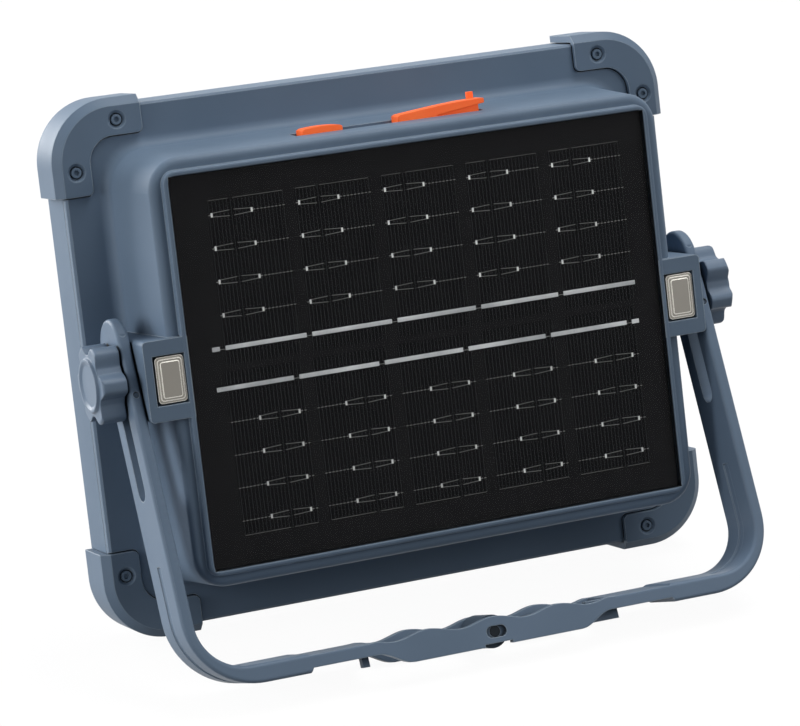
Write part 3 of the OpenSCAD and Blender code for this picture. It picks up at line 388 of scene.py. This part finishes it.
class Strokes:
    """Thin flat strips that lie in the panel at one depth, drawn in millimetres."""

    def __init__(self, depth):
        self.bm = bmesh.new()
        self.depth = depth

    def line(self, x0, z0, x1, z1, width):
        a, b = Vector((x0, z0)), Vector((x1, z1))
        side = (b - a).normalized().orthogonal() * width / 2
        ends = [a + side, b + side, b - side, a - side]
        self.bm.faces.new([self.bm.verts.new(on_panel(p.x, p.y, self.depth)) for p in ends])

    def piece(self, name, mat, slot):
        """Make the strips one piece that faces outwards and rides the lamp."""
        bmesh.ops.recalc_face_normals(self.bm, faces=self.bm.faces)
        for face in self.bm.faces:
            if face.normal.dot(NORMAL) < 0:
                face.normal_flip()
        mesh = bpy.data.meshes.new(name)
        self.bm.to_mesh(mesh)
        self.bm.free()
        mesh.materials.append(mat)
        obj = bpy.data.objects.new(name, mesh)
        scene.collection.objects.link(obj)
        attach(obj, "lamp")


# ---------------------------------------------------------------- printed grid of the cells
# Silver print under the glass, in millimetres from the glass centre. The panel has two rows of
# cells, both drawn outwards from its middle; side is 1 for the upper row and -1 for the lower one.
CELL_COLUMNS, CELL_PITCH = 5, 31.75
CELL_SHIFT, CELL_RISE = 0.85, 0.2
# Fingers run up each cell, and one of them stands in the middle of the busbars' split
FINGERS, FINGER_PITCH, FINGER_W = 21, 1.345, 0.2
FINGERS_BEFORE_SPLIT = 6
FINGER_START, FINGER_END = 1.3, 57.4
# Busbars run across each cell: a pad at each side of the split, a diamond of lines between the
# pads, and dashes beyond them. The one nearest the middle is a plain line beside the ribbon.
BUSBARS, BUSBAR_PITCH = 5, 11.38
RIBBON_BUSBAR, LINE_INSET = BUSBAR_PITCH / 2 + 1.2, 1
SPLIT_X, SPLIT_HALF, SPREAD = 4.335, 0.8, 1.0
PAD_OUT, PAD_W, PAD_H = 7.235, 0.72, 1.5
LINE_W, DASH_W, DASH_LEN, EDGE_W = 0.14, 0.2, 0.8, 0.09
# The margin film laps over the cells' edges, and leaves this much clear round their print
FILM_SIDE_MARGIN, FILM_NEAR_MARGIN, FILM_FAR_MARGIN = 0.5, 0.2, 0.3
FILM_HALF_W, FILM_HALF_H = 88.4, 67.1
# Depths behind the glass face, from the pads in front to the film behind
GRID_DEPTH, LAYER = 2.14, 0.015
PAD_DEPTH, LINE_DEPTH, FINGER_DEPTH, FILM_DEPTH = [GRID_DEPTH + LAYER * i for i in range(4)]


def column_centres():
    return [(column - (CELL_COLUMNS - 1) / 2) * CELL_PITCH + CELL_SHIFT for column in range(CELL_COLUMNS)]


def split_place(side):
    return -side * SPLIT_X


def finger_places(side):
    """Finger positions across one cell, from its centre."""
    before = FINGERS_BEFORE_SPLIT if side > 0 else FINGERS - 2 - FINGERS_BEFORE_SPLIT
    return [split_place(side) + (i - before) * FINGER_PITCH for i in range(FINGERS)]


def busbar(lines, pads, cx, z, side):
    split = cx + split_place(side)
    left, right = split - PAD_OUT, split + PAD_OUT
    for x in (left, right):
        pads.line(x - PAD_W / 2, z, x + PAD_W / 2, z, PAD_H)
    for tilt in (1, -1):
        root = z + tilt * (PAD_H / 2 - LINE_W)
        tip = z + tilt * SPREAD
        lines.line(left, root, split - SPLIT_HALF, tip, LINE_W)
        lines.line(split + SPLIT_HALF, tip, right, root, LINE_W)
    for x in finger_places(side):
        if not left <= cx + x <= right:
            lines.line(cx + x - DASH_LEN / 2, z, cx + x + DASH_LEN / 2, z, DASH_W)


def cell_print(fingers, lines, pads, cx, side):
    xs = finger_places(side)
    near_z, far_z = CELL_RISE + side * FINGER_START, CELL_RISE + side * FINGER_END
    for x in xs:
        fingers.line(cx + x, near_z, cx + x, far_z, FINGER_W)
    split = split_place(side)
    lines.line(cx + xs[0], far_z, cx + split - SPLIT_HALF, far_z, EDGE_W)
    lines.line(cx + split + SPLIT_HALF, far_z, cx + xs[-1], far_z, EDGE_W)
    for k in range(1, BUSBARS):
        busbar(lines, pads, cx, CELL_RISE + side * (RIBBON_BUSBAR + k * BUSBAR_PITCH), side)


def printed_grid():
    fingers, lines, pads = Strokes(FINGER_DEPTH), Strokes(LINE_DEPTH), Strokes(PAD_DEPTH)
    reach = CELL_COLUMNS * CELL_PITCH / 2 - LINE_INSET
    for side in (1, -1):
        ribbon_z = CELL_RISE + side * RIBBON_BUSBAR
        lines.line(-reach, ribbon_z, reach, ribbon_z, LINE_W)
        for cx in column_centres():
            cell_print(fingers, lines, pads, cx, side)
    fingers.piece("cell_fingers", FINGER, "ribbon")
    lines.piece("cell_busbars", BUSBAR, "ribbon")
    pads.piece("solder_pads", PAD, "ribbon")


def margin_film():
    """Dark film that frames every cell, just behind the print."""
    film = Strokes(FILM_DEPTH)
    near, far = FINGER_START - FILM_NEAR_MARGIN, FINGER_END + FILM_FAR_MARGIN
    film.line(-FILM_HALF_W, CELL_RISE, FILM_HALF_W, CELL_RISE, 2 * near)
    for side in (1, -1):
        xs = finger_places(side)
        starts = [-FILM_HALF_W] + [cx + xs[-1] + FILM_SIDE_MARGIN for cx in column_centres()]
        ends = [cx + xs[0] - FILM_SIDE_MARGIN for cx in column_centres()] + [FILM_HALF_W]
        for x0, x1 in zip(starts, ends):
            middle = (x0 + x1) / 2
            film.line(middle, CELL_RISE + side * near, middle, CELL_RISE + side * far, x1 - x0)
        inner, outer = CELL_RISE + side * far, side * FILM_HALF_H
        film.line(-FILM_HALF_W, (inner + outer) / 2, FILM_HALF_W, (inner + outer) / 2, abs(outer - inner))
    film.piece("margin_film", FILM, "backing")


printed_grid()
margin_film()


# ---------------------------------------------------------------- stage and light
# The camera sees a white room through a nearly clear floor. The light on the object comes from
# the softboxes, a faint blue ambient and what the floor throws back.
AMBIENT, AMBIENT_TINT = 0.015, (0.93, 0.96, 1, 1)
FLOOR_BOUNCE = 0.12
FLOOR_CLEAR, FLOOR_WHITE, FLOOR_SHADE = 0.92, 0.035, 0.8
FLOOR_HALF, FLOOR_Z = 9, -0.2 * MM
SOFTBOX_SIZE, SOFTBOX_DISTANCE = 0.9, 1.7
SOFTBOX_AIM = Vector((0, 0, 0.09))


def grey(value):
    return (value, value, value, 1)


def add_node(tree, kind, colour_in=None, strength=None):
    node = tree.nodes.new(kind)
    if colour_in is not None:
        node.inputs[0].default_value = colour_in
    if strength is not None:
        node.inputs[1].default_value = strength
    return node


def mix_nodes(tree, fac, first, second):
    """Mix of two shaders; fac is a number or a socket."""
    mix = tree.nodes.new("ShaderNodeMixShader")
    if isinstance(fac, float):
        mix.inputs[0].default_value = fac
    else:
        tree.links.new(fac, mix.inputs[0])
    tree.links.new(first.outputs[0], mix.inputs[1])
    tree.links.new(second.outputs[0], mix.inputs[2])
    return mix


def seen(tree):
    """1 for rays that show the background: camera, glossy and transmission rays."""
    path = tree.nodes.new("ShaderNodeLightPath")
    total = path.outputs["Is Camera Ray"]
    for name in ("Is Glossy Ray", "Is Transmission Ray"):
        node = tree.nodes.new("ShaderNodeMath")
        node.operation = "MAXIMUM"
        tree.links.new(total, node.inputs[0])
        tree.links.new(path.outputs[name], node.inputs[1])
        total = node.outputs[0]
    return total


def floor_material():
    """A dark bounce for the light, and for seen rays a clear sheet with a soft shadow on it."""
    mat = bpy.data.materials.new("floor")
    mat.use_nodes = True
    tree = mat.node_tree
    tree.nodes.clear()
    out = tree.nodes.new("ShaderNodeOutputMaterial")
    bounce = add_node(tree, "ShaderNodeBsdfDiffuse", grey(FLOOR_BOUNCE))
    shade = add_node(tree, "ShaderNodeBsdfDiffuse", grey(FLOOR_SHADE))
    veil = mix_nodes(tree, FLOOR_CLEAR, shade, add_node(tree, "ShaderNodeBsdfTransparent"))
    shown = tree.nodes.new("ShaderNodeAddShader")
    white = add_node(tree, "ShaderNodeEmission", grey(1), FLOOR_WHITE)
    tree.links.new(veil.outputs[0], shown.inputs[0])
    tree.links.new(white.outputs[0], shown.inputs[1])
    tree.links.new(mix_nodes(tree, seen(tree), bounce, shown).outputs[0], out.inputs[0])
    return mat


def make_stage():
    corners = [(x * FLOOR_HALF, y * FLOOR_HALF, FLOOR_Z) for x, y in ((-1, -1), (1, -1), (1, 1), (-1, 1))]
    mesh = bpy.data.meshes.new("floor")
    mesh.from_pydata(corners, [], [(0, 1, 2, 3)])
    mesh.materials.append(floor_material())
    floor = bpy.data.objects.new("floor", mesh)
    scene.collection.objects.link(floor)


def make_world():
    scene.world = bpy.data.worlds.new("studio")
    scene.world.use_nodes = True
    tree = scene.world.node_tree
    tree.nodes.clear()
    out = tree.nodes.new("ShaderNodeOutputWorld")
    room = add_node(tree, "ShaderNodeBackground", AMBIENT_TINT, AMBIENT)
    white = add_node(tree, "ShaderNodeBackground", grey(1), 1)
    tree.links.new(mix_nodes(tree, seen(tree), room, white).outputs[0], out.inputs[0])


def softbox(name, azimuth, elevation, power):
    """A square area light, in watts, aimed at the object from this direction."""
    away = direction(azimuth, elevation)
    data = bpy.data.lights.new(name, "AREA")
    data.shape = "SQUARE"
    data.size, data.energy = SOFTBOX_SIZE, power
    obj = bpy.data.objects.new(name, data)
    scene.collection.objects.link(obj)
    obj.location = SOFTBOX_AIM + away * SOFTBOX_DISTANCE
    obj.rotation_mode = "QUATERNION"
    obj.rotation_quaternion = facing(away)


make_stage()
make_world()
softbox("overhead_rear", 120, 70, 15)
softbox("overhead_front", 60, 70, 8)
softbox("left_side", -90, 12, 15)
softbox("left_rear", -150, 12, 25)
softbox("fill_left", -50, 24, 3.4)
softbox("fill_right", 45, 26, 6)
